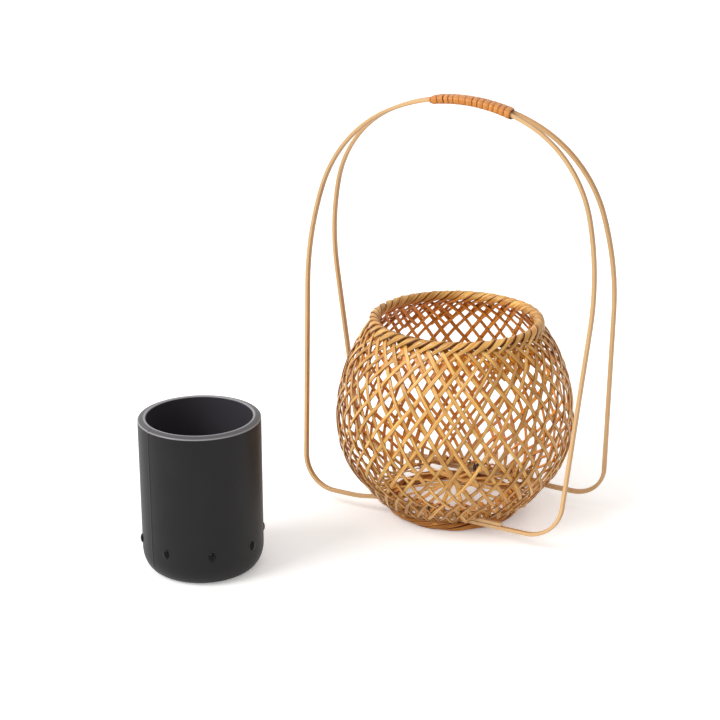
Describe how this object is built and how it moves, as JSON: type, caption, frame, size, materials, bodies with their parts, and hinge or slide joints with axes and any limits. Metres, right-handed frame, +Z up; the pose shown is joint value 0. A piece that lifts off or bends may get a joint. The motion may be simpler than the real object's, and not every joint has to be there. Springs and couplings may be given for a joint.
{
  "type": "bamboo vase",
  "caption": "Open-weave bamboo flower basket with a tall hooped handle and a ring foot, and the loose black water cup that goes inside it.",
  "frame": {"origin": "middle of the foot ring's underside, on the surface that the basket stands on", "axes": "+Z up, +X along the handle arch, and -Y towards the side where the cup stands"},
  "size_m": [0.2599, 0.2946, 0.3029],
  "materials": {
    "wall_bamboo": "split bamboo, smooth and lightly glossy",
    "handle_bamboo": "planed bamboo splint, satin",
    "foot_bamboo": "twisted bamboo, darker and matte",
    "binding_cane": "flat cane, satin",
    "tie_wire": "dark annealed wire",
    "cup_black": "matte charcoal black"
  },
  "bodies": {
    "basket": {"foot_ring": "foot_bamboo", "rim_rope": "wall_bamboo", "right_rising_strips": "wall_bamboo", "left_rising_strips": "wall_bamboo", "tucked_tails": "wall_bamboo", "front_hoop": "handle_bamboo", "back_hoop": "handle_bamboo", "front_tie": "tie_wire", "back_tie": "tie_wire", "handle_binding": "binding_cane", "base_strip_1": "wall_bamboo", "base_strip_2": "wall_bamboo", "base_strip_3": "wall_bamboo", "base_strip_4": "wall_bamboo", "base_strip_5": "wall_bamboo", "base_strip_6": "wall_bamboo", "base_strip_7": "wall_bamboo", "base_strip_8": "wall_bamboo"},
    "cup": {"water_cup": "cup_black"}
  },
  "joints": [
    {"name": "cup_lift", "type": "slide", "parent": "basket", "child": "cup", "axis": [0, 0, 1], "range_m": [0, 0.2]}
  ]
}
